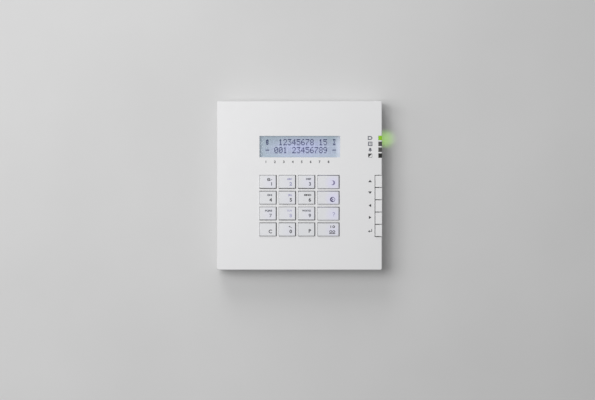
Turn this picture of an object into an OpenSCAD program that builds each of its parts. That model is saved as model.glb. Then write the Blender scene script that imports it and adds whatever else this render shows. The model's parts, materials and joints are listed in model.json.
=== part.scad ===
// Wall-mounted alarm keypad panel with a two-line display, sixteen face keys,
// five edge keys and four status lenses. It opens from its wall base like a lid.
// Frame: X to the right, Z up, Y into the wall. The wall plane is y = 0 and the
// origin is the centre of the base's back face. Millimetres.

/* [Housing] */
// Width of the front cover
body_w = 131; // [128:1:150]
// Height of the front cover
body_h = 134; // [132:1:150]
// Depth from the wall to the front face
body_d = 22; // [22:0.5:26]
// Thickness of the cover's side walls
wall_t = 2; // [1.6:0.1:2.2]
// Corner radius of the cover seen from the front
corner_r = 1.2; // [1:0.1:3]
// Chamfer on the cover's front edge
edge_c = 0.4; // [0.2:0.1:0.8]

/* [Keys] */
// Clearance between a key and its opening
key_gap = 0.45; // [0.35:0.05:0.5]
// How far the keys stand out of the front face
key_proud = 1; // [0.3:0.1:1.2]
// Height of an edge key
edge_key_h = 9.1; // [8.8:0.02:9.3]

/* [Display] */
// Width of the display opening
win_w = 64; // [60:0.5:65]
// Height of the display opening
win_h = 17; // [14:0.5:17]
// Thickness of the clear window
window_t = 1; // [0.8:0.1:1]

/* [Mounting] */
// Spacing of the two wall-box holes
box_pitch = 83.5; // [80:0.5:86]
// Spacing of the four wall screw holes across
screw_pitch_x = 100; // [96:1:102]
// Spacing of the four wall screw holes up and down
screw_pitch_z = 96; // [90:1:98]
// Radius of the wall screw holes
screw_hole_r = 2.25; // [2:0.05:2.6]
// Width of the cable opening
cable_w = 44; // [30:1:46]
// Height of the cable opening
cable_h = 19; // [14:1:20]

/* [Hidden] */

hw = body_w / 2;
hh = body_h / 2;
yf = -body_d;              // front face
front_t = 2;               // front wall
yi = yf + front_t;         // inside of the front wall
iw = hw - wall_t;          // inside half width
ih = hh - wall_t;          // inside half height
rear_y = -0.5;             // rear edge of the cover's walls

// Key openings: [x0, x1] for each column and [z0, z1] for each row.
COLS = [[-31.75, -18], [-16.45, -2.65], [-1.15, 12.6], [14.25, 31.85]];
ROWS = [[-2.6, 8.35], [-15, -4.2], [-27.65, -16.85], [-40.3, -29.35]];
// The caps sit a little to the left in their openings, and a little high or low.
key_dx = -0.25;
function key_dz(c, r) = c == 3 ? -0.15 : [0.1, -0.1, 0.1, -0.1][r];
// Display opening
wx0 = 0.3 - win_w / 2;
wx1 = 0.3 + win_w / 2;
wz0 = 30.85 - win_h / 2;
wz1 = 30.85 + win_h / 2;
// Edge key slot at the right side
sx0 = hw - 5.8;
sz1 = 8.4;
sz0 = -40.8;
edge_pitch = (sz1 - sz0 - 0.5) / 5;
function edge_z(i) = sz1 - 0.25 - edge_pitch * (i + 0.5);
// Status lenses at the right side
lx0 = hw - 2.8;
function lens_z(i) = 37.7 - 4.65 * i;
lens_h = 3.4;
// Boards
pcb_t = 1.6;
yb = yf + 11.1;            // front of the main board
ybb = yb + pcb_t;          // back of the main board
yl = yf + 7.9;             // front of the display board
board_x0 = -hw + 5.5;
board_x1 = hw - 2.5;
board_z0 = -hh + 9;
board_z1 = hh - 11;
BOSSES = [[-hw + 10, hh - 15.5], [hw - 10, hh - 15.5], [-hw + 10, -hh + 13.5], [hw - 10, -hh + 13.5]];
// Hinge
pin_y = -5;
pin_z = hh - 4.5;
pin_r = 1.2;
// Tamper plunger
tx = -38;
tz = -36;
// Backlight lamps between the keys
LAMPS = [for (x = [-17.3, 13.3], z = [-3.35, -15.9, -28.45]) [x, z]];
// Cable opening
cz = 3.5 + cable_h / 2;

function mid(p) = (p[0] + p[1]) / 2;

module bx(x0, x1, y0, y1, z0, z1) translate([x0, y0, z0]) cube([x1 - x0, y1 - y0, z1 - z0]);
module rod_y(x, z, r, y0, y1) translate([x, y0, z]) rotate([-90, 0, 0]) cylinder(r = r, h = y1 - y0, $fn = 48);
module rod_x(y, z, r, x0, x1) translate([x0, y, z]) rotate([0, 90, 0]) cylinder(r = r, h = x1 - x0, $fn = 48);
// A cone along Y, from radius ra at y0 to radius rb at y1
module cone_y(x, z, ra, rb, y0, y1) translate([x, y0, z]) rotate([-90, 0, 0]) cylinder(r1 = ra, r2 = rb, h = y1 - y0, $fn = 48);

module cover_outer() {
    hull() {
        for (sx = [-1, 1], sz = [-1, 1]) {
            translate([sx * (hw - corner_r), rear_y, sz * (hh - corner_r)]) rotate([90, 0, 0])
                cylinder(r = corner_r, h = body_d + rear_y - edge_c, $fn = 32);
            translate([sx * (hw - corner_r), rear_y, sz * (hh - corner_r)]) rotate([90, 0, 0])
                cylinder(r = corner_r - edge_c, h = body_d + rear_y, $fn = 32);
        }
    }
}

module front_cover() color([0.92, 0.92, 0.91]) {
    difference() {
        cover_outer();
        bx(-iw, iw, yi, 0, -ih, ih);
        // the top wall stops short, so that it clears the wall as the cover swings
        bx(-hw - 1, hw + 1, -2.5, 1, ih - 1, hh + 1);
        bx(wx0, wx1, yf - 1, yi + 1, wz0, wz1);
        for (c = COLS, r = ROWS) bx(c[0], c[1], yf - 1, yi + 1, r[0], r[1]);
        bx(sx0, hw + 1, yf - 1, yf + 5.3, sz0, sz1);
        for (i = [0:3]) bx(lx0 - 0.1, hw + 1, yf - 1, yf + 6, lens_z(i) - lens_h / 2 - 0.1, lens_z(i) + lens_h / 2 + 0.1);
        for (s = [-1, 1]) bx(s * 30 - 3, s * 30 + 3, -12.4, -10.2, -hh - 1, -ih + 1);
    }
    for (b = BOSSES) difference() {
        rod_y(b[0], b[1], 3, yi - 0.5, yb);
        rod_y(b[0], b[1], 1.25, yi + 2, yb + 1);
    }
    // hinge lugs and their pins
    for (s = [-1, 1]) {
        bx(s * 35.3 - 1, s * 35.3 + 1, -9, -3, pin_z - 1.7, ih + 0.5);
        rod_x(pin_y, pin_z, pin_r, s > 0 ? 35.3 : -43, s > 0 ? 43 : -35.3);
    }
    // locating ribs beside the display
    for (x = [wx0 - 5.6, wx1 + 4.6]) bx(x, x + 1, yi - 0.5, yi + 2.6, wz0 - 1, wz1 + 1);
}

module hook(s) {
    difference() {
        union() {
            bx(s * 39.9 - 2.6, s * 39.9 + 2.6, -7.6, -2.8, pin_z - 3, pin_z + 1.3);
            bx(s * 39.9 - 2.6, s * 39.9 + 2.6, -3, -1.5, pin_z - 5.5, pin_z - 1);
        }
        rod_x(pin_y, pin_z, pin_r + 0.06, s * 39.9 - 4, s * 39.9 + 4);
        bx(s * 39.9 - 4, s * 39.9 + 4, pin_y - pin_r - 0.06, pin_y + pin_r + 0.06, pin_z, pin_z + 3);
    }
}

module wall_base() color([0.86, 0.86, 0.85]) {
    bwx = iw - 0.3;
    bz0 = -ih + 0.4;
    difference() {
        union() {
            bx(-bwx, bwx, -2, 0, bz0, pin_z - 0.5);
            bx(-bwx, bwx, -0.8, 0, pin_z - 1, ih - 0.6);
            for (s = [-1, 1]) bx(s > 0 ? bwx - 1.6 : -bwx, s > 0 ? bwx : -bwx + 1.6, -8, -1, bz0, pin_z - 6);
            difference() {
                bx(-bwx, bwx, -8, -1, bz0, bz0 + 1.6);
                for (s = [-1, 1]) bx(s * 30 - 5, s * 30 + 5, -9, -2, bz0 - 1, bz0 + 2.6);
            }
            // frame round the cable opening
            bx(-cable_w / 2 - 1.6, cable_w / 2 + 1.6, -3.4, -1, cz - cable_h / 2 - 1.6, cz + cable_h / 2 + 1.6);
            // collars round the screw holes
            for (x = [-1, 1], z = [-1, 1]) rod_y(x * screw_pitch_x / 2, z * screw_pitch_z / 2, 5, -3, -1);
            for (x = [-1, 1]) rod_y(x * box_pitch / 2, 0, 5, -3, -1);
            rod_y(tx, tz, 5.6, -3, -1);
            // latch tongues and their noses
            for (s = [-1, 1]) {
                bx(s * 30 - 4, s * 30 + 4, -12, -1, bz0 + 0.6, bz0 + 2);
                bx(s * 30 - 2.4, s * 30 + 2.4, -12, -10.6, bz0, bz0 + 0.8);
            }
            // stiffening ribs
            for (s = [-1, 1]) {
                bx(s * 26 - 0.6, s * 26 + 0.6, -3.6, -1, bz0 + 3, -3);
                bx(s * 56 - 0.6, s * 56 + 0.6, -3.6, -1, -34, 34);
            }
            bx(-36, 36, -3.2, -1, -hh + 18.4, -hh + 19.6);
        }
        bx(-cable_w / 2, cable_w / 2, -5, 1, cz - cable_h / 2, cz + cable_h / 2);
        for (x = [-1, 1], z = [-1, 1]) rod_y(x * screw_pitch_x / 2, z * screw_pitch_z / 2, screw_hole_r, -4, 1);
        for (x = [-1, 1]) rod_y(x * box_pitch / 2, 0, 2.1, -4, 1);
        rod_y(tx, tz, 4, -4, 1);
    }
    hook(-1);
    hook(1);
}

module display_window() color([0.8, 0.85, 0.88, 0.4])
    bx(wx0 - 3, wx1 + 3, yi, yi + window_t, wz0 - 2.5, wz1 + 2.5);

module display_frame() color([0.25, 0.26, 0.28]) {
    x0 = -36; x1 = 36.6; z0 = 17.6; z1 = 44.1;
    difference() {
        bx(x0, x1, yf + 3.1, yl, z0, z1);
        bx(x0 + 0.4, x1 - 0.4, yf + 3.5, yl + 1, z0 + 0.4, z1 - 0.4);
        bx(0.3 - 33, 0.3 + 33, yf, yf + 5, 30.85 - 9, 30.85 + 9);
    }
    // bent fixing tabs behind the display board
    for (x = [-30, 30.6], z = [z0 + 0.2, z1 - 0.2]) {
        bx(x - 1.2, x + 1.2, yl - 0.5, yl + pcb_t, z - 0.2, z + 0.2);
    }
}

module display_glass() color([0.62, 0.68, 0.74])
    bx(-35.4, 36, yf + 3.5, yf + 5.3, 18.2, 43.5);

module display_backlight() color([0.93, 0.94, 0.95])
    bx(-34.6, 35.2, yf + 5.35, yl - 0.05, 18.6, 43.1);

module display_board() color([0.06, 0.32, 0.16]) {
    difference() {
        bx(-39.7, 40.3, yl, yl + pcb_t, 12.85, 48.85);
        for (x = [-37.2, 37.8], z = [15.35, 46.35]) rod_y(x, z, 1.25, yl - 1, yl + 3);
        for (x = [-30, 30.6], z = [17.8, 43.9]) bx(x - 1.3, x + 1.3, yl - 1, yl + 3, z - 0.3, z + 0.3);
        pin_holes(yl - 1, yl + 3);
    }
}

// Holes for the sixteen header pins
module pin_holes(y0, y1) for (i = [0:15]) bx(-34.28 + 2.54 * i, -33.52 + 2.54 * i, y0, y1, 46.84, 47.6);

module display_pin_header() color([0.12, 0.12, 0.13]) {
    bx(-35.2, 5.44, yl + pcb_t, yb, 46, 48.4);
    for (i = [0:15]) bx(-34.22 + 2.54 * i, -33.58 + 2.54 * i, yl - 0.8, ybb + 1, 46.9, 47.54);
}

module main_board() color([0.06, 0.32, 0.16]) {
    difference() {
        bx(board_x0, board_x1, yb, ybb, board_z0, board_z1);
        for (b = BOSSES) rod_y(b[0], b[1], 1.6, yb - 1, ybb + 1);
        pin_holes(yb - 1, ybb + 1);
    }
}

module board_screws() color([0.75, 0.76, 0.78]) for (b = BOSSES) difference() {
    union() {
        rod_y(b[0], b[1], 2.7, ybb, ybb + 1.8);
        rod_y(b[0], b[1], 1.2, yb - 5.5, ybb + 0.5);
    }
    for (a = [0, 90]) translate([b[0], ybb + 1.4, b[1]]) rotate([0, a, 0]) cube([3.2, 1.6, 0.7], center = true);
}

// One dome of a rubber mat: ra is its foot, rb its top, on a sheet whose back lies on the main board
module dome(x, z, ra, rb) {
    difference() {
        union() {
            cone_y(x, z, rb, ra, yf + 7.9, yb - 0.5);
            rod_y(x, z, ra, yb - 0.6, yb);
        }
        cone_y(x, z, rb - 0.5, ra - 0.5, yf + 8.9, yb - 0.5);
        rod_y(x, z, ra - 0.5, yb - 0.6, yb + 1);
    }
    rod_y(x, z, rb - 0.9, yf + 8.6, yf + 9.5);
}

module keymat() color([0.78, 0.8, 0.84]) {
    difference() {
        bx(-34, 34.4, yb - 0.6, yb, -43.4, 10.8);
        for (c = COLS, r = ROWS) rod_y(mid(c), mid(r), 3.9, yb - 2, yb + 1);
        for (p = LAMPS) bx(p[0] - 1.3, p[0] + 1.3, yb - 2, yb + 1, p[1] - 1, p[1] + 1);
    }
    for (c = COLS, r = ROWS) dome(mid(c), mid(r), 4.1, 2.6);
}

module edge_keymat() color([0.78, 0.8, 0.84]) {
    difference() {
        bx(hw - 7, hw - 2.5, yb - 0.6, yb, sz0 - 1, sz1 + 1);
        for (i = [0:4]) rod_y(hw - 4.7, edge_z(i), 1.9, yb - 2, yb + 1);
    }
    for (i = [0:4]) dome(hw - 4.7, edge_z(i), 2.1, 1.5);
}

module contact_pills() color([0.08, 0.08, 0.08]) {
    for (c = COLS, r = ROWS) rod_y(mid(c), mid(r), 1.6, yf + 9.5, yf + 9.9);
    for (i = [0:4]) rod_y(hw - 4.7, edge_z(i), 0.6, yf + 9.5, yf + 9.9);
}

module contact_pads() color([0.8, 0.65, 0.3]) {
    for (c = COLS, r = ROWS) rod_y(mid(c), mid(r), 2.2, yb - 0.1, yb);
    for (i = [0:4]) rod_y(hw - 4.7, edge_z(i), 1, yb - 0.1, yb);
}

module backlight_leds() color([0.95, 0.93, 0.8])
    for (p = LAMPS) bx(p[0] - 1, p[0] + 1, yb - 0.8, yb, p[1] - 0.6, p[1] + 0.6);

module status_leds() color([0.9, 0.92, 0.9])
    for (i = [0:3]) bx(hw - 4.2, hw - 2.8, yb - 0.7, yb, lens_z(i) - 0.8, lens_z(i) + 0.8);

module status_lens(i) {
    z = lens_z(i);
    bx(lx0, hw, yf, yf + 5.9, z - lens_h / 2, z + lens_h / 2);
    bx(hw - 4.7, hw - 2.3, yi + 0.3, yb - 1, z - lens_h / 2 + 0.2, z + lens_h / 2 - 0.2);
}
module status_lens_1() color([0.45, 0.8, 0.1]) status_lens(0);
module status_lens_2() color([0.12, 0.12, 0.12]) status_lens(1);
module status_lens_3() color([0.12, 0.12, 0.12]) status_lens(2);
module status_lens_4() color([0.12, 0.12, 0.12]) status_lens(3);

// Electronics on the back of the main board
module chip_packages() color([0.1, 0.1, 0.11]) {
    bx(7, 17, ybb + 0.15, ybb + 1.6, -12, -2);
    bx(-16, -11, ybb + 0.15, ybb + 1.7, -8, -4.1);
    bx(28, 34.5, ybb + 0.15, ybb + 1.8, 26, 29.5);
    bx(-6, 4, ybb + 0.15, ybb + 1.8, -34, -29);
}

module chip_leads() color([0.8, 0.8, 0.82]) {
    for (i = [-5:5], s = [-1, 1]) {
        bx(12 + i * 0.8 - 0.18, 12 + i * 0.8 + 0.18, ybb, ybb + 0.15, -7 + s * 5.4 - 0.6, -7 + s * 5.4 + 0.6);
        bx(12 + s * 5.4 - 0.6, 12 + s * 5.4 + 0.6, ybb, ybb + 0.15, -7 + i * 0.8 - 0.18, -7 + i * 0.8 + 0.18);
    }
    for (i = [-1.5:1.5], s = [-1, 1]) bx(-13.5 + i * 1.27 - 0.21, -13.5 + i * 1.27 + 0.21, ybb, ybb + 0.15, -6.05 + s * 2.3 - 0.7, -6.05 + s * 2.3 + 0.7);
    for (i = [-3.5:3.5], s = [-1, 1]) bx(-1 + i * 1.27 - 0.21, -1 + i * 1.27 + 0.21, ybb, ybb + 0.15, -31.5 + s * 2.9 - 0.7, -31.5 + s * 2.9 + 0.7);
    for (i = [-1:1]) bx(31.25 + i * 2.3 - 0.35, 31.25 + i * 2.3 + 0.35, ybb, ybb + 0.15, 24.6, 26.4);
    bx(29.7, 32.8, ybb, ybb + 0.15, 29.1, 30.9);
}

// Small parts on a loose grid that keeps clear of the larger ones
SMALL = [[22, -4, 0], [22, -7, 0], [22, -10, 0], [0, -2, 1], [3, -2, 1], [0, -9, 1], [3, -13, 1],
    [-20, -4, 0], [-20, -7, 0], [-9, -14, 1], [-6, -14, 1], [24, 24, 1], [27, 22, 1], [38, 24, 0], [38, 27, 0],
    [38, 30, 0], [8, -25, 0], [8, -28, 0], [8, -31, 0], [-10, -28, 1], [-13, -28, 1], [30, -20, 0], [30, -23, 0],
    [30, -26, 0], [47, 36, 0], [47, 31, 0], [47, 26, 0], [47, 21, 0], [-34, 10, 1], [-37, 10, 1], [-40, 10, 1]];
module chip_components() color([0.55, 0.42, 0.3])
    for (p = SMALL) bx(p[0] - (p[2] > 0 ? 0.5 : 1), p[0] + (p[2] > 0 ? 0.5 : 1), ybb, ybb + 0.6,
        p[1] - (p[2] > 0 ? 1 : 0.5), p[1] + (p[2] > 0 ? 1 : 0.5));

module electrolytic_capacitors() color([0.78, 0.79, 0.8]) for (p = [[44, 44], [34, 44]]) {
    bx(p[0] - 3.3, p[0] + 3.3, ybb, ybb + 0.8, p[1] - 3.3, p[1] + 3.3);
    rod_y(p[0], p[1], 3.1, ybb + 0.7, ybb + 5.6);
}

module crystal() color([0.8, 0.81, 0.82]) {
    bx(20.5, 28.5, ybb + 0.4, ybb + 3.6, -17.2, -13.2);
    for (x = [20.5, 28.5]) rod_y(x, -15.2, 2, ybb + 0.4, ybb + 3.6);
    bx(18.3, 30.7, ybb, ybb + 0.4, -17.4, -13);
}

module buzzer() color([0.09, 0.09, 0.09]) difference() {
    union() {
        rod_y(40, -44, 6, ybb, ybb + 5.2);
        rod_y(40, -44, 5.4, ybb + 5.1, ybb + 5.5);
    }
    rod_y(40, -44, 1.25, ybb + 3.5, ybb + 7);
}

module terminal_block() color([0.1, 0.42, 0.25]) {
    difference() {
        bx(-32, -11, ybb, ybb + 6.4, 24.4, 32);
        for (i = [0:5]) {
            rod_y(-30.25 + 3.5 * i, 29.4, 1.45, ybb + 4.2, ybb + 8);
            bx(-31.5 + 3.5 * i, -29 + 3.5 * i, ybb + 0.8, ybb + 3.4, 23, 27.6);
        }
        bx(-33, -10, ybb + 5.2, ybb + 8, 23, 26.2);
    }
}

module terminal_screws() color([0.8, 0.8, 0.8]) for (i = [0:5]) difference() {
    rod_y(-30.25 + 3.5 * i, 29.4, 1.35, ybb + 4.2, ybb + 6);
    bx(-31.8 + 3.5 * i, -28.7 + 3.5 * i, ybb + 5.4, ybb + 7, 29.15, 29.65);
}

module contrast_trimmer() color([0.15, 0.3, 0.62]) difference() {
    union() {
        bx(12, 18, ybb, ybb + 2.4, 38, 44);
        rod_y(15, 41, 2.2, ybb + 2.3, ybb + 2.9);
    }
    bx(13.2, 16.8, ybb + 2.5, ybb + 4, 40.75, 41.25);
}

// Tamper switch: its plunger passes through the base to the wall
module tamper_switch() color([0.1, 0.1, 0.11]) difference() {
    union() {
        bx(tx - 3.6, tx + 3.6, ybb, ybb + 3.4, tz - 3.6, tz + 3.6);
        rod_y(tx, tz, 2.7, ybb + 3.3, ybb + 4);
    }
    rod_y(tx, tz, 1.3, ybb + 0.5, ybb + 6);
}

module tamper_plunger() color([0.9, 0.9, 0.88]) {
    rod_y(tx, tz, 3.3, -1.6, 0);
    rod_y(tx, tz, 1.24, ybb + 1, -1.5);
}

// Helical wire of radius wr on radius cr, with turns between y0 and y1
module coil(x, z, cr, wr, y0, y1, turns, steps, sides) {
    n = turns * steps;
    pts = [for (i = [0:n]) let (a = 360 * i / steps, y = y0 + wr + (y1 - y0 - 2 * wr) * i / n)
        for (j = [0:sides - 1]) let (b = 360 * j / sides)
            [x + (cr + wr * cos(b)) * cos(a), y + wr * sin(b), z + (cr + wr * cos(b)) * sin(a)]];
    polyhedron(points = pts, faces = concat(
        [for (i = [0:n - 1], j = [0:sides - 1]) let (k = (j + 1) % sides)
            [i * sides + j, (i + 1) * sides + j, (i + 1) * sides + k, i * sides + k]],
        [[for (j = [0:sides - 1]) j]],
        [[for (j = [sides - 1:-1:0]) n * sides + j]]));
}
module tamper_spring() color([0.75, 0.76, 0.78]) coil(tx, tz, 2.1, 0.25, ybb + 4.02, -1.62, 4, 16, 6);

// Face key for a column and a row, sitting in the cover with its flange behind the front wall
module key_cap(c, r) color([0.92, 0.92, 0.92]) {
    x0 = COLS[c][0]; x1 = COLS[c][1]; z0 = ROWS[r][0]; z1 = ROWS[r][1];
    bx(x0 + key_gap + key_dx, x1 - key_gap + key_dx, yf - key_proud, yi + 0.5, z0 + key_gap + key_dz(c, r), z1 - key_gap + key_dz(c, r));
    bx(x0 - 0.45, x1 + 0.45, yi + 0.05, yi + 1.25, z0 - 0.45, z1 + 0.45);
    bx(mid(COLS[c]) - 2.4, mid(COLS[c]) + 2.4, yi + 1, yf + 7.9, mid(ROWS[r]) - 0.8, mid(ROWS[r]) + 0.8);
    bx(mid(COLS[c]) - 0.8, mid(COLS[c]) + 0.8, yi + 1, yf + 7.9, mid(ROWS[r]) - 2.4, mid(ROWS[r]) + 2.4);
}

// Edge key that wraps over the right edge of the cover
module edge_key(i) color([0.92, 0.92, 0.92]) {
    z0 = edge_z(i) - edge_key_h / 2; z1 = edge_z(i) + edge_key_h / 2;
    bx(sx0 + 0.5, hw - 0.05, yf - key_proud, yf + 2.2, z0, z1);
    bx(hw - wall_t + 0.2, hw - 0.05, yf, yf + 4.1, z0, z1);
    bx(sx0 + 0.5, iw - 0.2, yf, yf + 3.2, z0, z1);
    bx(sx0 - 0.6, iw - 0.2, yi + 0.05, yi + 1.25, z0, z1);
    bx(hw - 3.2, iw - 0.2, yi + 1, yf + 6.9, z0, z1);
    bx(hw - 5.6, hw - 3.8, yi + 1, yf + 7.9, edge_z(i) - 1, edge_z(i) + 1);
}

front_cover();
wall_base();
display_window();
display_frame();
display_glass();
display_backlight();
display_board();
display_pin_header();
main_board();
board_screws();
keymat();
edge_keymat();
contact_pills();
contact_pads();
backlight_leds();
status_leds();
status_lens_1();
status_lens_2();
status_lens_3();
status_lens_4();
chip_packages();
chip_leads();
chip_components();
electrolytic_capacitors();
crystal();
buzzer();
terminal_block();
terminal_screws();
contrast_trimmer();
tamper_switch();
tamper_plunger();
tamper_spring();
key_cap(0, 0);  // key_1
key_cap(1, 0);  // key_2
key_cap(2, 0);  // key_3
key_cap(0, 1);  // key_4
key_cap(1, 1);  // key_5
key_cap(2, 1);  // key_6
key_cap(0, 2);  // key_7
key_cap(1, 2);  // key_8
key_cap(2, 2);  // key_9
key_cap(0, 3);  // key_clear
key_cap(1, 3);  // key_0
key_cap(2, 3);  // key_program
key_cap(3, 0);  // key_night
key_cap(3, 1);  // key_record
key_cap(3, 2);  // key_help
key_cap(3, 3);  // key_on
edge_key(0);  // edge_key_up
edge_key(1);  // edge_key_down
edge_key(2);  // edge_key_left
edge_key(3);  // edge_key_right
edge_key(4);  // edge_key_enter
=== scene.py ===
import json
import math
import random

import bmesh
import bpy
from mathutils import Matrix, Vector


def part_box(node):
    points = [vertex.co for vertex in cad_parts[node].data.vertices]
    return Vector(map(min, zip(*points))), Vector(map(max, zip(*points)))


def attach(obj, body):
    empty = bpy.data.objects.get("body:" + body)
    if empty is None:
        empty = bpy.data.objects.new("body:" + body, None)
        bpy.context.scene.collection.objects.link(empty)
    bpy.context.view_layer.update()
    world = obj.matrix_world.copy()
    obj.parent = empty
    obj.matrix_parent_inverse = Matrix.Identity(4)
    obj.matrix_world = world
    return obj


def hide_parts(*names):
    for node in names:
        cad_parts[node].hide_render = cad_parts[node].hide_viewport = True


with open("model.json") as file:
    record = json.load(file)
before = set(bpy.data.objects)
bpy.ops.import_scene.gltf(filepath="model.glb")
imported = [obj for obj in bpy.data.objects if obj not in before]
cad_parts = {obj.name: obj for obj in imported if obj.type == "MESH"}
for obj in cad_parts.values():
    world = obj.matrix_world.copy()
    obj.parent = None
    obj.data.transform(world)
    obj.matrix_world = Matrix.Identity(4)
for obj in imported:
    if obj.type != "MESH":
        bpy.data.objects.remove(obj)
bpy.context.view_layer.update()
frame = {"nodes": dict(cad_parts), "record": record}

MM = 0.001
EPS = 0.02 * MM
INKED = 0.012 * MM                    # thickness of the printing
NODES = frame["nodes"]
SLOT = {s["node"]: s["material_slot"] for s in frame["record"]["subparts"]}
BODY = {n: b for b, ns in frame["record"]["behaviour"]["bodies"].items() for n in ns}

# ---------------------------------------------------------------- camera
PX = 0.7935 * MM                      # one pixel of the 595 x 400 frame on the front face
front_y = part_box("front_cover")[0].y
dist = 1.25
cam_data = bpy.data.cameras.new("camera")
cam = bpy.data.objects.new("camera", cam_data)
bpy.context.scene.collection.objects.link(cam)
cam_data.sensor_width = 36.0
cam_data.lens = 36.0 * dist / (595 * PX)
cam_data.clip_start, cam_data.clip_end = 0.02, 20.0
cam.location = (-1.95 * PX, front_y - dist, -14.5 * PX)
cam.rotation_euler = (math.radians(90), 0, 0)
bpy.context.scene.camera = cam
bpy.context.scene.view_settings.view_transform = "Standard"
bpy.context.scene.view_settings.look = "None"


# ---------------------------------------------------------------- materials
def lin(r, g, b):
    """sRGB 0..255 to linear."""
    return tuple(((c / 255 + 0.055) / 1.055) ** 2.4 if c > 10 else c / 255 / 12.92 for c in (r, g, b)) + (1.0,)


def new_mat(name):
    m = bpy.data.materials.new(name)
    m.use_nodes = True
    nt = m.node_tree
    bsdf = nt.nodes["Principled BSDF"]
    return m, nt, bsdf


def coords(nt):
    return nt.nodes.new("ShaderNodeTexCoord").outputs["Object"]


def noise(nt, vec, scale, detail=3.0, rough=0.5, dist_=0.0):
    n = nt.nodes.new("ShaderNodeTexNoise")
    n.inputs["Scale"].default_value = scale
    n.inputs["Detail"].default_value = detail
    n.inputs["Roughness"].default_value = rough
    n.inputs["Distortion"].default_value = dist_
    nt.links.new(vec, n.inputs["Vector"])
    return n.outputs["Fac"]


def ramp(nt, fac, stops):
    r = nt.nodes.new("ShaderNodeValToRGB")
    while len(r.color_ramp.elements) < len(stops):
        r.color_ramp.elements.new(0.5)
    for e, (p, c) in zip(r.color_ramp.elements, stops):
        e.position = p
        e.color = c
    nt.links.new(fac, r.inputs["Fac"])
    return r.outputs["Color"]


def mrange(nt, fac, a, b, c, d):
    m = nt.nodes.new("ShaderNodeMapRange")
    m.inputs["From Min"].default_value = a
    m.inputs["From Max"].default_value = b
    m.inputs["To Min"].default_value = c
    m.inputs["To Max"].default_value = d
    nt.links.new(fac, m.inputs["Value"])
    return m.outputs["Result"]


def math_node(nt, op, a, b=None):
    m = nt.nodes.new("ShaderNodeMath")
    m.operation = op
    for s, v in ((0, a), (1, b)):
        if v is None:
            continue
        if isinstance(v, (int, float)):
            m.inputs[s].default_value = v
        else:
            nt.links.new(v, m.inputs[s])
    return m.outputs[0]


def bump(nt, bsdf, height, distance, strength=1.0):
    b = nt.nodes.new("ShaderNodeBump")
    b.inputs["Distance"].default_value = distance
    b.inputs["Strength"].default_value = strength
    nt.links.new(height, b.inputs["Height"])
    nt.links.new(b.outputs["Normal"], bsdf.inputs["Normal"])
    return b


def mix_col(nt, fac, a, b, mode="MIX"):
    m = nt.nodes.new("ShaderNodeMix")
    m.data_type = "RGBA"
    m.blend_type = mode
    for sock, v in ((m.inputs[0], fac), (m.inputs[6], a), (m.inputs[7], b)):
        if hasattr(v, "is_linked") or hasattr(v, "links"):
            nt.links.new(v, sock)
        else:
            sock.default_value = v
    return m.outputs[2]


def plastic(name, base, rough=0.45, grain=2600.0, grain_h=0.008 * MM, tone=0.03, ior=1.46, spec=0.5, sss=0.0):
    """Moulded plastic: a slow tone drift, a spark-eroded grain and patchy gloss."""
    m, nt, bsdf = new_mat(name)
    v = coords(nt)
    slow = noise(nt, v, 28.0, 2.0, 0.5)
    dark = tuple(c * (1 - tone) for c in base[:3]) + (1.0,)
    light = tuple(min(1.0, c * (1 + tone)) for c in base[:3]) + (1.0,)
    nt.links.new(ramp(nt, slow, [(0.3, dark), (0.7, light)]), bsdf.inputs["Base Color"])
    patch = noise(nt, v, 140.0, 4.0, 0.6)
    nt.links.new(mrange(nt, patch, 0.25, 0.75, rough - 0.06, rough + 0.06), bsdf.inputs["Roughness"])
    bump(nt, bsdf, noise(nt, v, grain, 2.0, 0.55), grain_h)
    bsdf.inputs["IOR"].default_value = ior
    bsdf.inputs["Specular IOR Level"].default_value = spec
    if sss:
        bsdf.inputs["Subsurface Weight"].default_value = sss
        bsdf.inputs["Subsurface Radius"].default_value = (1.0, 0.95, 0.9)
        bsdf.inputs["Subsurface Scale"].default_value = 0.4 * MM
    return m


def metal(name, base, rough=0.3, brushed=False, scale=900.0):
    m, nt, bsdf = new_mat(name)
    v = coords(nt)
    if brushed:
        mp = nt.nodes.new("ShaderNodeMapping")
        mp.inputs["Scale"].default_value = (1.0, 12.0, 1.0)
        nt.links.new(v, mp.inputs["Vector"])
        v = mp.outputs["Vector"]
    n = noise(nt, v, scale, 4.0, 0.6)
    dark = tuple(c * 0.86 for c in base[:3]) + (1.0,)
    nt.links.new(ramp(nt, n, [(0.25, dark), (0.75, base)]), bsdf.inputs["Base Color"])
    nt.links.new(mrange(nt, n, 0.2, 0.8, max(0.05, rough - 0.1), rough + 0.12), bsdf.inputs["Roughness"])
    bsdf.inputs["Metallic"].default_value = 1.0
    bump(nt, bsdf, n, 0.004 * MM)
    return m


def ink(name, base, rough=0.5):
    """Printed ink, a little uneven in cover."""
    m, nt, bsdf = new_mat(name)
    n = noise(nt, coords(nt), 1800.0, 3.0, 0.6)
    light = tuple(min(1.0, c * 1.25 + 0.01) for c in base[:3]) + (1.0,)
    nt.links.new(ramp(nt, n, [(0.3, base), (0.8, light)]), bsdf.inputs["Base Color"])
    bsdf.inputs["Roughness"].default_value = rough
    return m


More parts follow.
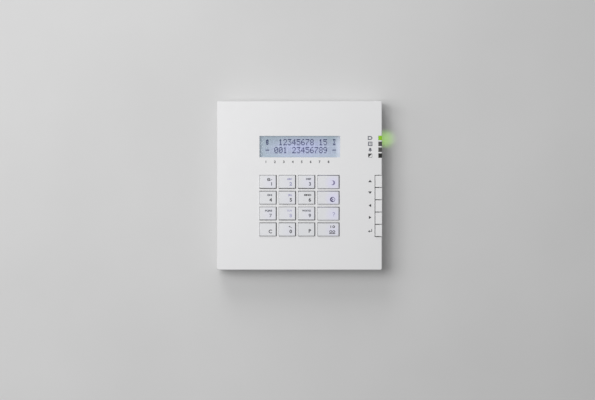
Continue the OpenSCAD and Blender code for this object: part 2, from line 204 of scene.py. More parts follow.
def board_mat(name):
    """Solder mask: copper under green, with fine tracks and pads."""
    m, nt, bsdf = new_mat(name)
    v = coords(nt)
    br = nt.nodes.new("ShaderNodeTexBrick")
    mp = nt.nodes.new("ShaderNodeMapping")
    mp.inputs["Rotation"].default_value = (math.radians(90), 0, 0)
    nt.links.new(v, mp.inputs["Vector"])
    nt.links.new(mp.outputs["Vector"], br.inputs["Vector"])
    br.inputs["Scale"].default_value = 110.0
    br.inputs["Mortar Size"].default_value = 0.035
    br.inputs["Brick Width"].default_value = 0.9
    br.inputs["Row Height"].default_value = 0.2
    br.inputs["Color1"].default_value = lin(12, 74, 40)
    br.inputs["Color2"].default_value = lin(15, 84, 46)
    br.inputs["Mortar"].default_value = lin(38, 120, 66)
    mask = noise(nt, v, 45.0, 1.0)
    col = mix_col(nt, mrange(nt, mask, 0.48, 0.52, 0.0, 1.0), lin(13, 78, 42), br.outputs["Color"])
    nt.links.new(col, bsdf.inputs["Base Color"])
    nt.links.new(mrange(nt, noise(nt, v, 400.0), 0.3, 0.7, 0.22, 0.36), bsdf.inputs["Roughness"])
    bump(nt, bsdf, br.outputs["Fac"], 0.02 * MM, 0.6)
    return m


MAT = {}
yf = front_y                          # front face plane
WHITE = lin(227, 227, 228)
MAT["cover_white"] = plastic("cover_white", WHITE, rough=0.42, grain=2600.0, grain_h=0.010 * MM, tone=0.006)
MAT["base_white"] = plastic("base_white", lin(216, 216, 214), rough=0.5, grain=1900.0, grain_h=0.012 * MM, tone=0.01)
MAT["window_clear"] = None
MAT["lcd_frame"] = metal("lcd_frame", lin(34, 35, 38), rough=0.38)
MAT["diffuser_white"] = plastic("diffuser_white", lin(232, 235, 240), rough=0.35, tone=0.01)
MAT["board_green"] = board_mat("board_green")
MAT["black_plastic"] = plastic("black_plastic", lin(30, 30, 32), rough=0.42, grain=1500.0, grain_h=0.02 * MM, tone=0.08)
MAT["silicone"] = plastic("silicone", lin(196, 202, 210), rough=0.55, grain=1200.0, tone=0.03, sss=0.2)
MAT["carbon"] = plastic("carbon", lin(22, 22, 22), rough=0.8, tone=0.1)
MAT["gold_plate"] = metal("gold_plate", lin(222, 176, 96), rough=0.25)
MAT["led_cream"] = plastic("led_cream", lin(236, 226, 176), rough=0.3, tone=0.03)
MAT["tinned"] = metal("tinned", lin(190, 191, 194), rough=0.32)
MAT["steel"] = metal("steel", lin(176, 178, 182), rough=0.34, brushed=True)
MAT["can_aluminium"] = metal("can_aluminium", lin(205, 207, 210), rough=0.3, brushed=True)
MAT["ceramic"] = plastic("ceramic", lin(150, 118, 84), rough=0.35, tone=0.1)
MAT["terminal_green"] = plastic("terminal_green", lin(40, 140, 84), rough=0.38, tone=0.03)
MAT["trimmer_blue"] = plastic("trimmer_blue", lin(36, 78, 168), rough=0.35, tone=0.04)
MAT["tamper_white"] = plastic("tamper_white", lin(226, 226, 220), rough=0.3, tone=0.01)


def window_mat():
    m, nt, bsdf = new_mat("window_clear")
    bsdf.inputs["Base Color"].default_value = (0.02, 0.025, 0.03, 1)
    n = noise(nt, coords(nt), 300.0, 2.0)
    nt.links.new(mrange(nt, n, 0.3, 0.7, 0.03, 0.07), bsdf.inputs["Roughness"])
    bsdf.inputs["IOR"].default_value = 1.49
    bsdf.inputs["Alpha"].default_value = 0.10
    bsdf.inputs["Specular IOR Level"].default_value = 0.5
    return m


MAT["window_clear"] = window_mat()


def lcd_mat():
    """Backlit display glass: lilac in the middle, grey-green to the sides; the darkening towards the frame is partly
    the backlight fading and partly painted shade from the opening, and the lighter right end is a painted highlight.
    """
    m, nt, bsdf = new_mat("lcd_glass")
    v = coords(nt)
    mp = nt.nodes.new("ShaderNodeMapping")
    mp.vector_type = "POINT"
    mp.inputs["Location"].default_value = (-0.09, 0.0, -2.75)
    mp.inputs["Scale"].default_value = (28.0, 0.0, 92.0)
    nt.links.new(v, mp.inputs["Vector"])
    g = nt.nodes.new("ShaderNodeTexGradient")
    g.gradient_type = "SPHERICAL"
    nt.links.new(mp.outputs["Vector"], g.inputs["Vector"])
    cloud = noise(nt, v, 120.0, 3.0, 0.6)
    fac = math_node(nt, "ADD", g.outputs["Fac"], mrange(nt, cloud, 0.3, 0.7, -0.12, 0.12))
    col = ramp(nt, fac, [(0.0, lin(172, 186, 199)), (0.35, lin(180, 190, 209)), (0.85, lin(186, 192, 225))])
    # the right end catches light from the side of the opening
    xyz = nt.nodes.new("ShaderNodeSeparateXYZ")
    nt.links.new(v, xyz.inputs[0])
    col = mix_col(nt, mrange(nt, xyz.outputs["X"], 28.0 * MM, 31.5 * MM, 0.0, 0.6), col, lin(220, 224, 236))
    nt.links.new(col, bsdf.inputs["Base Color"])
    nt.links.new(col, bsdf.inputs["Emission Color"])
    bsdf.inputs["Emission Strength"].default_value = 0.45
    nt.links.new(mrange(nt, noise(nt, v, 500.0), 0.3, 0.7, 0.30, 0.40), bsdf.inputs["Roughness"])
    bsdf.inputs["Specular IOR Level"].default_value = 0.1
    return m


MAT["lcd_glass"] = lcd_mat()


def lens_mat(name, base, glow, strength):
    m, nt, bsdf = new_mat(name)
    v = coords(nt)
    n = noise(nt, v, 380.0, 3.0, 0.6)
    dark = tuple(c * 0.8 for c in base[:3]) + (1.0,)
    nt.links.new(ramp(nt, n, [(0.3, dark), (0.7, base)]), bsdf.inputs["Base Color"])
    nt.links.new(mrange(nt, n, 0.3, 0.7, 0.16, 0.26), bsdf.inputs["Roughness"])
    if strength:
        nt.links.new(ramp(nt, n, [(0.25, tuple(c * 0.85 for c in glow[:3]) + (1.0,)), (0.7, glow)]), bsdf.inputs["Emission Color"])
        bsdf.inputs["Emission Strength"].default_value = strength
    bsdf.inputs["Specular IOR Level"].default_value = 0.3
    bsdf.inputs["Coat Weight"].default_value = 0.1
    bsdf.inputs["Coat Roughness"].default_value = 0.08
    return m


MAT["lens_green"] = lens_mat("lens_green", lin(128, 180, 24), lin(140, 205, 26), 0.20)
MAT["lens_dark"] = lens_mat("lens_dark", lin(84, 84, 82), None, 0)
MAT["lens_darkest"] = lens_mat("lens_darkest", lin(44, 44, 44), None, 0)


def key_mat(name, glow_at=None, lit_gap=False, edge_x=None):
    """Key plastic: slightly translucent white; some keys show a lilac tint round their legend, where the backlight
    comes through; the sides and the flange, down in the gap, carry painted shade.
    """
    m, nt, bsdf = new_mat(name)
    v = coords(nt)
    slow = noise(nt, v, 60.0, 2.0)
    if edge_x:
        col = ramp(nt, slow, [(0.3, lin(228, 228, 229)), (0.7, lin(231, 231, 232))])
    else:
        col = ramp(nt, slow, [(0.3, lin(220, 221, 224)), (0.7, lin(223, 224, 227))])
    nt.links.new(mrange(nt, noise(nt, v, 180.0, 4.0, 0.6), 0.25, 0.75, 0.32, 0.46), bsdf.inputs["Roughness"])
    bump(nt, bsdf, noise(nt, v, 3200.0, 2.0), 0.006 * MM)
    bsdf.inputs["Subsurface Weight"].default_value = 0.12
    bsdf.inputs["Subsurface Radius"].default_value = (1.0, 0.96, 0.94)
    bsdf.inputs["Subsurface Scale"].default_value = 0.5 * MM
    if glow_at:
        x, z, r, k = glow_at
        mp = nt.nodes.new("ShaderNodeMapping")
        mp.inputs["Location"].default_value = (-x / r, 0.0, -z / r)
        mp.inputs["Scale"].default_value = (1 / r, 0.0, 1 / r)
        nt.links.new(v, mp.inputs["Vector"])
        g = nt.nodes.new("ShaderNodeTexGradient")
        g.gradient_type = "SPHERICAL"
        nt.links.new(mp.outputs["Vector"], g.inputs["Vector"])
        col = mix_col(nt, mrange(nt, g.outputs["Fac"], 0.0, 0.8, 0.0, k), col, lin(217, 216, 236))
        nt.links.new(ramp(nt, g.outputs["Fac"], [(0.0, (0, 0, 0, 1)), (0.8, (0.10, 0.09, 0.24, 1))]), bsdf.inputs["Emission Color"])
        bsdf.inputs["Emission Strength"].default_value = 0.12 * k
    # painted shade: the sides and the flange, down in the gap, are painted darker, as if in shadow
    xyz = nt.nodes.new("ShaderNodeSeparateXYZ")
    nt.links.new(v, xyz.inputs[0])
    top, low = (0.15, 0.7) if edge_x else (0.5, 1.6)
    painted_gap_shade = mrange(nt, xyz.outputs["Y"], yf + top * MM, yf + low * MM, 0.0, 1.0)
    if edge_x:
        # the painted gap shade leaves out the outer face of an edge key, which stays as light as its front
        painted_gap_shade = math_node(nt, "MULTIPLY", painted_gap_shade, mrange(nt, xyz.outputs["X"], edge_x - 0.9 * MM, edge_x - 0.35 * MM, 1.0, 0.0))
    # the colour of the painted shade in the gap, darkest round the edge keys
    dark = lin(30, 30, 33) if edge_x else lin(104, 104, 110)
    if lit_gap:
        # light leaks round the wide keys, least at their right end
        dark = mix_col(nt, mrange(nt, xyz.outputs["X"], 20 * MM, 31 * MM, 0.0, 1.0), lin(186, 186, 202), lin(90, 90, 98))
    col = mix_col(nt, painted_gap_shade, col, dark)
    nt.links.new(col, bsdf.inputs["Base Color"])
    return m


MAT["key_white"] = key_mat("key_white")
MAT["edge_white"] = key_mat("edge_white", edge_x=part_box("edge_key_up")[1].x)
INK_BLACK = ink("ink_black", lin(34, 34, 38))
INK_DARK = ink("ink_dark", lin(52, 52, 58))
INK_GREY = ink("ink_grey", lin(92, 94, 104))
# printed legend ink whose light lilac tone is painted glow, standing for backlight shining through the legend
INK_LILAC_PAINTED_GLOW = ink("ink_lilac", lin(142, 140, 176))
INK_INDIGO = ink("ink_indigo", lin(62, 56, 98))
INK_MAUVE = ink("ink_mauve", lin(122, 117, 152))
# printed legend ink whose pale lilac tone is painted glow, standing for backlight shining through the legend
INK_PALE_PAINTED_GLOW = ink("ink_pale", lin(168, 167, 194))
INK_MID = ink("ink_mid", lin(128, 129, 138))


# ---------------------------------------------------------------- mesh helpers
def link(obj, body, mat):
    bpy.context.scene.collection.objects.link(obj)
    obj.data.materials.clear()
    obj.data.materials.append(mat)
    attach(obj, body)
    return obj


def smooth(obj, angle=40.0, weighted=True):
    me = obj.data
    me.polygons.foreach_set("use_smooth", [True] * len(me.polygons))
    me.set_sharp_from_angle(angle=math.radians(angle))
    if weighted:
        w = obj.modifiers.new("weighted", "WEIGHTED_NORMAL")
        w.keep_sharp = True
        w.weight = 50
    return obj


def refine(node, mat, width, segments=3, pick=None, angle=30.0, name=None, inset=0.0):
    """A copy of a CAD shell with merged flats and rounded edges, standing for that node."""
    src = NODES[node].data
    bm = bmesh.new()
    bm.from_mesh(src)
    bmesh.ops.remove_doubles(bm, verts=bm.verts, dist=1e-7)
    bmesh.ops.dissolve_limit(bm, angle_limit=math.radians(0.4), verts=bm.verts, edges=bm.edges, use_dissolve_boundaries=False)
    if inset:
        # draw the front face back by the thickness of the printing
        front = min(v.co.y for v in bm.verts)
        for v in bm.verts:
            if v.co.y < front + EPS:
                v.co.y += inset
    bm.normal_update()
    if width > 0:
        sharp = [e for e in bm.edges if len(e.link_faces) == 2 and e.calc_face_angle(0.0) > math.radians(angle)
                 and (pick is None or pick(e.verts[0].co, e.verts[1].co))]
        bmesh.ops.bevel(bm, geom=sharp, offset=width, offset_type="OFFSET", segments=segments, profile=0.5,
                        affect="EDGES", clamp_overlap=True, miter_outer="SHARP", loop_slide=True)
    bmesh.ops.recalc_face_normals(bm, faces=bm.faces)
    me = bpy.data.meshes.new(name or node + "_shell")
    bm.to_mesh(me)
    bm.free()
    obj = bpy.data.objects.new(name or node + "_shell", me)
    link(obj, BODY[node], mat)
    smooth(obj)
    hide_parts(node)
    return obj


def prism(bm, pts, y0, y1):
    """A closed prism from an outline in X and Z, from y0 (front) to y1."""
    a = [bm.verts.new((x, y0, z)) for x, z in pts]
    b = [bm.verts.new((x, y1, z)) for x, z in pts]
    n = len(pts)
    bm.faces.new(a)
    bm.faces.new(b[::-1])
    for i in range(n):
        j = (i + 1) % n
        bm.faces.new((a[i], b[i], b[j], a[j]))


def ring(bm, outer, inner, y0, y1):
    """A closed ring between two outlines with as many points each."""
    n = len(outer)
    oa = [bm.verts.new((x, y0, z)) for x, z in outer]
    ia = [bm.verts.new((x, y0, z)) for x, z in inner]
    ob = [bm.verts.new((x, y1, z)) for x, z in outer]
    ib = [bm.verts.new((x, y1, z)) for x, z in inner]
    for i in range(n):
        j = (i + 1) % n
        bm.faces.new((oa[i], ia[i], ia[j], oa[j]))
        bm.faces.new((ob[i], ob[j], ib[j], ib[i]))
        bm.faces.new((oa[i], oa[j], ob[j], ob[i]))
        bm.faces.new((ia[i], ib[i], ib[j], ia[j]))


def offset_loop(pts, d, closed=True):
    """Points moved sideways by d, with mitred corners."""
    out = []
    n = len(pts)
    for i, p in enumerate(pts):
        p = Vector(p)
        prev = Vector(pts[(i - 1) % n]) if closed or i else None
        nxt = Vector(pts[(i + 1) % n]) if closed or i < n - 1 else None
        dirs = [v.normalized() for v in ((p - prev) if prev is not None else None, (nxt - p) if nxt is not None else None) if v is not None]
        norms = [Vector((-v.y, v.x)) for v in dirs]
        m = sum(norms, Vector((0, 0))).normalized()
        k = d / max(0.35, m.dot(norms[0]))
        out.append(p + m * k)
    return out


def stroke(bm, pts, w, y0, y1, closed=False):
    if closed:
        ring(bm, offset_loop(pts, w / 2), offset_loop(pts, -w / 2), y0, y1)
    else:
        a, b = offset_loop(pts, w / 2, False), offset_loop(pts, -w / 2, False)
        prism(bm, a + b[::-1], y0, y1)


def circle(cx, cz, r, n=28, a0=0.0, a1=360.0):
    full = abs(a1 - a0) >= 360
    return [(cx + r * math.cos(math.radians(a0 + (a1 - a0) * i / (n if full else n - 1))),
             cz + r * math.sin(math.radians(a0 + (a1 - a0) * i / (n if full else n - 1)))) for i in range(n)]


def bm_object(bm, name, body, mat):
    bmesh.ops.recalc_face_normals(bm, faces=bm.faces)
    bmesh.ops.triangulate(bm, faces=[f for f in bm.faces if len(f.verts) > 4])
    me = bpy.data.meshes.new(name)
    bm.to_mesh(me)
    bm.free()
    return link(bpy.data.objects.new(name, me), body, mat)


def add_text(bm, text, x, z, height, y0, y1, align="right", squeeze=1.0, bold=0.0):
    """Adds one short legend to bm as thin solid letters; x is its right edge, centre or left edge, z its middle."""
    cu = bpy.data.curves.new("legend_tmp", "FONT")
    cu.body = text
    cu.size = 1.0
    cu.resolution_u = 5
    cu.extrude = 0.5
    cu.offset = bold
    ob = bpy.data.objects.new("legend_tmp", cu)
    bpy.context.scene.collection.objects.link(ob)
    dg = bpy.context.evaluated_depsgraph_get()
    me = bpy.data.meshes.new_from_object(ob.evaluated_get(dg))
    bpy.data.objects.remove(ob)
    bpy.data.curves.remove(cu)
    xs = [v.co.x for v in me.vertices]
    ys = [v.co.y for v in me.vertices]
    ref = 0.729 + 2 * bold
    k = height / ref
    x0, x1 = min(xs) * k * squeeze, max(xs) * k * squeeze
    shift = {"right": x - x1, "center": x - (x0 + x1) / 2, "left": x - x0}[align]
    base = z - height / 2 + bold * k
    start = len(bm.verts)
    bm.from_mesh(me)
    bm.verts.ensure_lookup_table()
    for v in bm.verts[start:]:
        tx, ty, tz = v.co
        v.co = (tx * k * squeeze + shift, (y0 if tz > 0 else y1), ty * k + base)
    bpy.data.meshes.remove(me)


# ---------------------------------------------------------------- housing
f_lo, f_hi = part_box("front_cover")


def cover_edges(a, b):
    on_front = a.y < yf + EPS and b.y < yf + EPS
    touches = min(a.y, b.y) < yf + EPS and max(a.y, b.y) < yf + 6.1 * MM
    rear = a.y > -3 * MM and b.y > -3 * MM and (max(abs(a.x), abs(b.x)) > 65.4 * MM or max(abs(a.z), abs(b.z)) > 66.9 * MM)
    chamfer = a.y < yf + 0.5 * MM and b.y < yf + 0.5 * MM
    return on_front or touches or rear or chamfer


cover = refine("front_cover", MAT["cover_white"], 0.16 * MM, 3, cover_edges, name="cover_shell")
base = refine("wall_base", MAT["base_white"], 0.15 * MM, 2,
              lambda a, b: a.y > -0.01 * MM and b.y > -0.01 * MM, name="base_plate")

# ---------------------------------------------------------------- keys
GLOW = {"key_2": 0.15, "key_5": 0.2, "key_8": 0.2, "key_0": 0.2, "key_night": 0.95, "key_record": 1.0,
        "key_help": 0.8, "key_on": 0.6, "key_1": 0.3, "key_3": 0.4, "key_7": 0.3, "key_9": 0.3}
FACE_KEYS = [n for n in NODES if n.startswith("key_")]
EDGE_KEYS = [n for n in NODES if n.startswith("edge_key_")]
for n in FACE_KEYS:
    lo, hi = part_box(n)
    mat = MAT["key_white"]
    if n in GLOW:
        mat = key_mat("key_white_" + n, (hi.x - 5.4 * MM, (lo.z + hi.z) / 2 - 0.8 * MM, 7.5 * MM, GLOW[n]),
                      n in ("key_night", "key_record", "key_help"))
    refine(n, mat, 0.28 * MM, 4, lambda a, b, y=lo.y + INKED: min(a.y, b.y) < y + EPS, name=n + "_cap", inset=INKED)
for n in EDGE_KEYS:
    lo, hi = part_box(n)
    refine(n, MAT["edge_white"], 0.12 * MM, 3,
           lambda a, b, y=lo.y, x=hi.x: min(a.y, b.y) < y + EPS or (a.x > x - EPS and b.x > x - EPS), name=n + "_cap")

# ---------------------------------------------------------------- legends on the face keys
LETTERS = {"key_1": "@.-", "key_2": "ABC", "key_3": "DEF", "key_4": "GHI", "key_5": "JKL", "key_6": "MNO",
           "key_7": "PQRS", "key_8": "TUV", "key_9": "WXYZ", "key_0": "+_"}
# the ink of the small letters and of the large figure on each key
INKS = {"key_1": (INK_BLACK, INK_GREY), "key_2": (INK_LILAC_PAINTED_GLOW, INK_LILAC_PAINTED_GLOW), "key_3": (INK_GREY, INK_GREY),
        "key_4": (INK_GREY, INK_BLACK), "key_5": (INK_LILAC_PAINTED_GLOW, INK_DARK), "key_6": (INK_BLACK, INK_DARK),
        "key_7": (INK_GREY, INK_MID), "key_8": (INK_PALE_PAINTED_GLOW, INK_PALE_PAINTED_GLOW), "key_9": (INK_GREY, INK_GREY),
        "key_0": (INK_DARK, INK_DARK), "key_clear": (None, INK_DARK), "key_program": (None, INK_DARK),
        "key_night": (None, INK_MAUVE), "key_record": (None, INK_INDIGO), "key_help": (None, INK_LILAC_PAINTED_GLOW),
        "key_on": (INK_DARK, INK_DARK)}
RIGHTS = (-21.75, -5.9, 9.2, 28.3)
TOPS = (7.8, -4.85, -17.3, -29.9)
LAYOUT = (("key_1", "key_2", "key_3", "key_night"), ("key_4", "key_5", "key_6", "key_record"),
          ("key_7", "key_8", "key_9", "key_help"), ("key_clear", "key_0", "key_program", "key_on"))
CELL = {n: (c, r) for r, row in enumerate(LAYOUT) for c, n in enumerate(row)}
for n in FACE_KEYS:
    lo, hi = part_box(n)
    c, r = CELL[n]
    rx, top = RIGHTS[c] * MM, (TOPS[r] - (0.15 if c == 3 else 0.0)) * MM
    y0, y1 = lo.y, lo.y + INKED + EPS
    small, large = bmesh.new(), bmesh.new()
    zd = top - 6.45 * MM
    if n in LETTERS:
        first, tinted = n == "key_1", n in ("key_2", "key_5", "key_8")
        add_text(small, LETTERS[n], rx + 0.1 * MM, top - (2.8 if first else 2.65) * MM, (1.9 if first else 1.55) * MM, y0, y1, "right",
                 1.1 if first or tinted else 1.27, bold=0.035 if first else 0.05 if tinted else 0.06)
    if n[4:].isdigit():
        add_text(large, n[4:], rx, zd, 3.0 * MM, y0, y1, "right", 1.06, bold=0.035)
    elif n == "key_clear":
        add_text(large, "C", rx, zd, 3.1 * MM, y0, y1, "right", bold=0.03)
    elif n == "key_program":
        add_text(large, "P", rx, top - 6.0 * MM, 3.0 * MM, y0, y1, "right", bold=0.035)
    elif n == "key_night":
        cx, cz = rx - 1.9 * MM, top - 5.5 * MM
        outer = circle(cx, cz, 1.9 * MM, 28, -130, 120)
        inner = circle(cx - 1.1 * MM, cz + 0.15 * MM, 1.66 * MM, 28, 90, -72)
        prism(large, outer + inner, y0, y1)
    elif n == "key_record":
        cx, cz = rx - 2.05 * MM, top - 6.1 * MM
        ring(large, circle(cx, cz, 2.05 * MM), circle(cx, cz, 1.62 * MM), y0, y1)
        prism(large, circle(cx, cz, 1.62 * MM, 20, 95, 285) + circle(cx, cz, 0.9 * MM, 20, 285, 95), y0, y1)
        prism(large, circle(cx + 0.15 * MM, cz, 0.5 * MM, 20), y0, y1)
    elif n == "key_help":
        cx, cz = rx - 1.2 * MM, top - 5.4 * MM
        arc = circle(cx, cz + 0.7 * MM, 0.78 * MM, 14, 165, -60)
        stroke(large, arc + [(cx, cz - 0.2 * MM), (cx, cz - 0.6 * MM)], 0.46 * MM, y0, y1)
        prism(large, circle(cx, cz - 1.3 * MM, 0.32 * MM, 14), y0, y1)
    elif n == "key_on":
        cx, cz = rx - 2.3 * MM, top - 2.65 * MM
        stroke(small, [(cx - 1.15 * MM, cz - 0.95 * MM), (cx - 1.15 * MM, cz + 0.95 * MM)], 0.55 * MM, y0, y1)
        ring(small, circle(cx + 1.15 * MM, cz, 1.05 * MM, 24), circle(cx + 1.15 * MM, cz, 0.5 * MM, 24), y0, y1)
        for k in (-1, 1):
            ring(large, circle(cx + k * 1.2 * MM, zd - 0.1 * MM, 1.12 * MM, 24), circle(cx + k * 1.2 * MM, zd - 0.1 * MM, 0.6 * MM, 24), y0, y1)
        stroke(large, [(cx - 2.45 * MM, zd - 1.62 * MM), (cx + 2.45 * MM, zd - 1.62 * MM)], 0.55 * MM, y0, y1)
    for bm, tag, mat in ((small, "_letters", INKS[n][0]), (large, "_legend", INKS[n][1])):
        if len(bm.verts):
            bm_object(bm, n + tag, n, mat)
        else:
            bm.free()

# ---------------------------------------------------------------- printing on the cover
y0, y1 = yf - INKED, yf + EPS
bm = bmesh.new()
for i in range(8):
    add_text(bm, str(i + 1), (-26.6 + 7.1 * i) * MM, 18.85 * MM, 2.15 * MM, y0, y1, "center", bold=0.04)
bm_object(bm, "display_numerals", "front_unit", INK_DARK)

bm = bmesh.new()
ix = 56.0 * MM
for i, n in enumerate(("edge_key_up", "edge_key_down", "edge_key_left", "edge_key_right", "edge_key_enter")):
    z = (3.45, -5.55, -15.85, -25.35, -35.9)[i] * MM
    if i < 4:
        a = {0: 90, 1: -90, 2: 180, 3: 0}[i]
        w, h = ((1.5, 1.05) if i < 2 else (1.3, 1.15))
        tri = [(h, 0), (-h * 0.8, w), (-h * 0.8, -w)]
        c, sn = math.cos(math.radians(a)), math.sin(math.radians(a))
        prism(bm, [(ix + (x * c - y * sn) * MM, z + (x * sn + y * c) * MM) for x, y in tri], y0, y1)
    else:
        stroke(bm, [(ix + 1.35 * MM, z + 1.5 * MM), (ix + 1.35 * MM, z - 0.45 * MM), (ix - 0.4 * MM, z - 0.45 * MM)], 0.5 * MM, y0, y1)
        prism(bm, [(ix - 1.6 * MM, z - 0.45 * MM), (ix - 0.3 * MM, z + 0.6 * MM), (ix - 0.3 * MM, z - 1.5 * MM)], y0, y1)
bm_object(bm, "edge_key_icons", "front_unit", INK_BLACK)

bm = bmesh.new()
ix = 56.15 * MM
zs = [(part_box("status_lens_%d" % k)[0].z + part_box("status_lens_%d" % k)[1].z) / 2 for k in (1, 2, 3, 4)]
# a tag, a pane, a bell and a half-filled square
z = zs[0]
stroke(bm, [(ix - 1.55 * MM, z - 1.15 * MM), (ix + 0.6 * MM, z - 1.15 * MM), (ix + 1.5 * MM, z), (ix + 0.6 * MM, z + 1.15 * MM), (ix - 1.55 * MM, z + 1.15 * MM)], 0.74 * MM, y0, y1, True)
z = zs[1]
q = 1.4 * MM
stroke(bm, [(ix - q, z - q), (ix + q, z - q), (ix + q, z + q), (ix - q, z + q)], 0.66 * MM, y0, y1, True)
stroke(bm, [(ix, z - q + 0.2 * MM), (ix, z + q - 0.2 * MM)], 0.3 * MM, y0, y1)
stroke(bm, [(ix - q + 0.2 * MM, z), (ix - 0.14 * MM, z)], 0.3 * MM, y0, y1)
stroke(bm, [(ix + 0.14 * MM, z), (ix + q - 0.2 * MM, z)], 0.3 * MM, y0, y1)
z = zs[2]
dome = circle(ix, z + 0.55 * MM, 0.95 * MM, 12, 0, 180)
prism(bm, [(ix + 1.6 * MM, z - 0.95 * MM)] + [(ix + 1.0 * MM, z - 0.45 * MM)] + dome + [(ix - 1.0 * MM, z - 0.45 * MM), (ix - 1.6 * MM, z - 0.95 * MM)], y0, y1)
prism(bm, circle(ix, z - 1.4 * MM, 0.36 * MM, 14), y0, y1)
bm_object(bm, "status_icons", "front_unit", INK_GREY)
bm = bmesh.new()
z = zs[3]
q = 1.6 * MM
prism(bm, [(ix - q, z - q), (ix - q, z + q), (ix + q, z + q)], y0, y1)
stroke(bm, [(ix - q + 0.4 * MM, z - q + 0.12 * MM), (ix + q - 0.12 * MM, z - q + 0.12 * MM), (ix + q - 0.12 * MM, z + q - 0.4 * MM)], 0.26 * MM, y0, y1)
bm_object(bm, "status_icon_square", "front_unit", INK_BLACK)

# ---------------------------------------------------------------- display
FONT = {
    "0": "01110 10001 10011 10101 11001 10001 01110", "1": "00100 01100 00100 00100 00100 00100 01110",
    "2": "01110 10001 00001 00010 00100 01000 11111", "3": "11111 00010 00100 00010 00001 10001 01110",
    "4": "00010 00110 01010 10010 11111 00010 00010", "5": "11111 10000 11110 00001 00001 10001 01110",
    "6": "00110 01000 10000 11110 10001 10001 01110", "7": "11111 00001 00010 00100 01000 01000 01000",
    "8": "01110 10001 10001 01110 10001 10001 01110", "9": "01110 10001 10001 01111 00001 00010 01100",
    "-": "00000 00000 00000 11111 00000 00000 00000", " ": "00000 00000 00000 00000 00000 00000 00000",
    "a": "00100 01110 01010 01110 01010 01110 00100", "b": "01110 01010 00100 00100 00100 01010 01110",
}
ROWS = ["a  12345678 15 b", "- 001 23456789 -"]
g_lo, g_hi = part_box("display_glass")
yd0, yd1 = g_lo.y - INKED, g_lo.y + 0.01 * MM
on, off = bmesh.new(), bmesh.new()
dx, dz, sx_, sz_ = 0.60 * MM, 0.70 * MM, 0.57 * MM, 0.67 * MM
for r, text in enumerate(ROWS):
    zc = (34.5 if r == 0 else 28.2) * MM
    for c, ch in enumerate(text):
        xc = (-25.6 + 3.55 * c) * MM
        rows = FONT[ch].split() + ["00000"]
        for j, bits in enumerate(rows):
            for i, bit in enumerate(bits):
                x = xc + (i - 2) * dx
                z = zc + (3 - j) * dz
                pts = [(x - sx_ / 2, z - sz_ / 2), (x + sx_ / 2, z - sz_ / 2), (x + sx_ / 2, z + sz_ / 2), (x - sx_ / 2, z + sz_ / 2)]
                prism(on if bit == "1" else off, pts, yd0, yd1)


def dot_mat(name, base, alpha):
    m, nt, bsdf = new_mat(name)
    n = noise(nt, coords(nt), 900.0, 2.0)
    nt.links.new(ramp(nt, n, [(0.3, base), (0.8, tuple(min(1, c * 1.15) for c in base[:3]) + (1.0,))]), bsdf.inputs["Base Color"])
    bsdf.inputs["Roughness"].default_value = 0.5
    bsdf.inputs["Specular IOR Level"].default_value = 0.05
    bsdf.inputs["Alpha"].default_value = alpha
    return m


bm_object(on, "display_dots_on", "front_unit", dot_mat("dots_on", lin(46, 50, 112), 0.95))
bm_object(off, "display_dots_off", "front_unit", dot_mat("dots_off", lin(130, 138, 172), 0.07))

# ---------------------------------------------------------------- the rest of the CAD nodes
SOFT_EDGE = {"status_lens_1": 0.12, "status_lens_2": 0.12, "status_lens_3": 0.12, "status_lens_4": 0.12,
             "terminal_block": 0.15, "chip_packages": 0.12, "display_frame": 0.0, "tamper_switch": 0.12,
             "electrolytic_capacitors": 0.0, "buzzer": 0.2, "contrast_trimmer": 0.1, "chip_components": 0.06}
for n, obj in NODES.items():
    if obj.hide_render:
        continue
    mat = MAT["lens_darkest" if n == "status_lens_4" else SLOT[n]]
    if SOFT_EDGE.get(n):
        refine(n, mat, SOFT_EDGE[n] * MM, 2, None, name=n + "_body")
        continue
    obj.data.materials.clear()
    obj.data.materials.append(mat)

# ---------------------------------------------------------------- stage: the wall
wm, nt, wb = new_mat("wall_paint")
v = coords(nt)
wn = noise(nt, v, 9.0, 3.0)
nt.links.new(ramp(nt, wn, [(0.3, lin(206, 206, 206)), (0.7, lin(210, 210, 210))]), wb.inputs["Base Color"])
wb.inputs["Roughness"].default_value = 0.85
wb.inputs["Specular IOR Level"].default_value = 0.2
bump(nt, wb, noise(nt, v, 900.0, 3.0), 0.01 * MM)
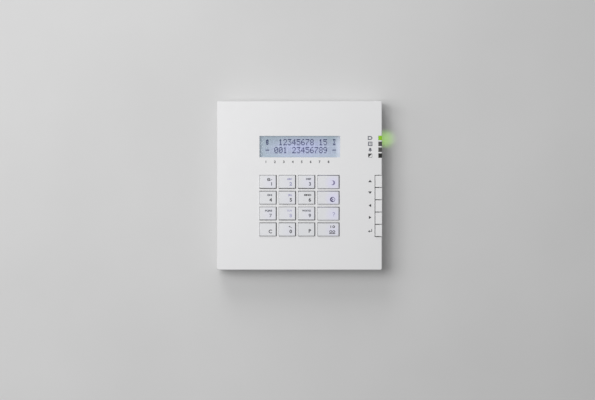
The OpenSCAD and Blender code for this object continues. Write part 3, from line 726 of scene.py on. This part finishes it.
# the wall shows from its front only, so that it never hides the back of the panel
geo = nt.nodes.new("ShaderNodeNewGeometry")
lp = nt.nodes.new("ShaderNodeLightPath")
tr = nt.nodes.new("ShaderNodeBsdfTransparent")
mx = nt.nodes.new("ShaderNodeMixShader")
seen = math_node(nt, "MULTIPLY", lp.outputs["Is Camera Ray"], math_node(nt, "SUBTRACT", 1.0, geo.outputs["Backfacing"]))
nt.links.new(seen, mx.inputs["Fac"])
nt.links.new(tr.outputs["BSDF"], mx.inputs[1])
nt.links.new(wb.outputs["BSDF"], mx.inputs[2])
nt.links.new(mx.outputs["Shader"], nt.nodes["Material Output"].inputs["Surface"])
bm = bmesh.new()
S = 2.2
vs = [bm.verts.new(p) for p in ((-S, 0.0002, -S), (S, 0.0002, -S), (S, 0.0002, S), (-S, 0.0002, S))]
bm.faces.new(vs)
me = bpy.data.meshes.new("wall")
bm.to_mesh(me)
bm.free()
wall = bpy.data.objects.new("wall", me)
bpy.context.scene.collection.objects.link(wall)
wall.data.materials.append(wm)


# ---------------------------------------------------------------- light
def area(name, loc, target, size, power, color=(1, 1, 1), size_y=None):
    d = bpy.data.lights.new(name, "AREA")
    d.energy = power
    d.color = color
    d.size = size
    if size_y:
        d.shape = "RECTANGLE"
        d.size_y = size_y
    o = bpy.data.objects.new(name, d)
    bpy.context.scene.collection.objects.link(o)
    o.location = loc
    o.rotation_mode = "QUATERNION"
    o.rotation_quaternion = (Vector(target) - Vector(loc)).to_track_quat("-Z", "Y")
    return o


area("key_light", (-0.50, -0.90, 0.15), (0, 0, 0), 0.5, 3.25)
area("fill_light", (-0.25, -1.10, 0.10), (0, 0, 0), 0.4, 2.85)
area("top_light", (-0.30, -0.60, 0.90), (0, 0, 0), 0.6, 3.95)
area("side_light", (-1.10, -0.60, 0.20), (0, 0, 0), 0.6, 1.25)
area("back_light", (0.5, 1.2, 0.7), (0, 0, 0), 0.9, 13.0)

world = bpy.data.worlds.new("world")
bpy.context.scene.world = world
world.use_nodes = True
wn_ = world.node_tree
bg = wn_.nodes["Background"]
bg.inputs["Color"].default_value = (1.0, 1.0, 1.0, 1)
bg.inputs["Strength"].default_value = 0.26

# the lit status lens throws a small green spot on the wall
sp = bpy.data.lights.new("status_glow", "SPOT")
sp.energy = 0.0075
sp.color = (0.41, 0.95, 0.03)
sp.spot_size = math.radians(54)
sp.spot_blend = 1.0
sp.shadow_soft_size = 0.0012
so = bpy.data.objects.new("status_glow", sp)
bpy.context.scene.collection.objects.link(so)
z1 = zs[0]
so.location = (66.6 * MM, -17.5 * MM, z1)
so.rotation_mode = "QUATERNION"
so.rotation_quaternion = (Vector((69.4 * MM, 0, z1 + 0.1 * MM)) - so.location).to_track_quat("-Z", "Y")
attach(so, "front_unit")
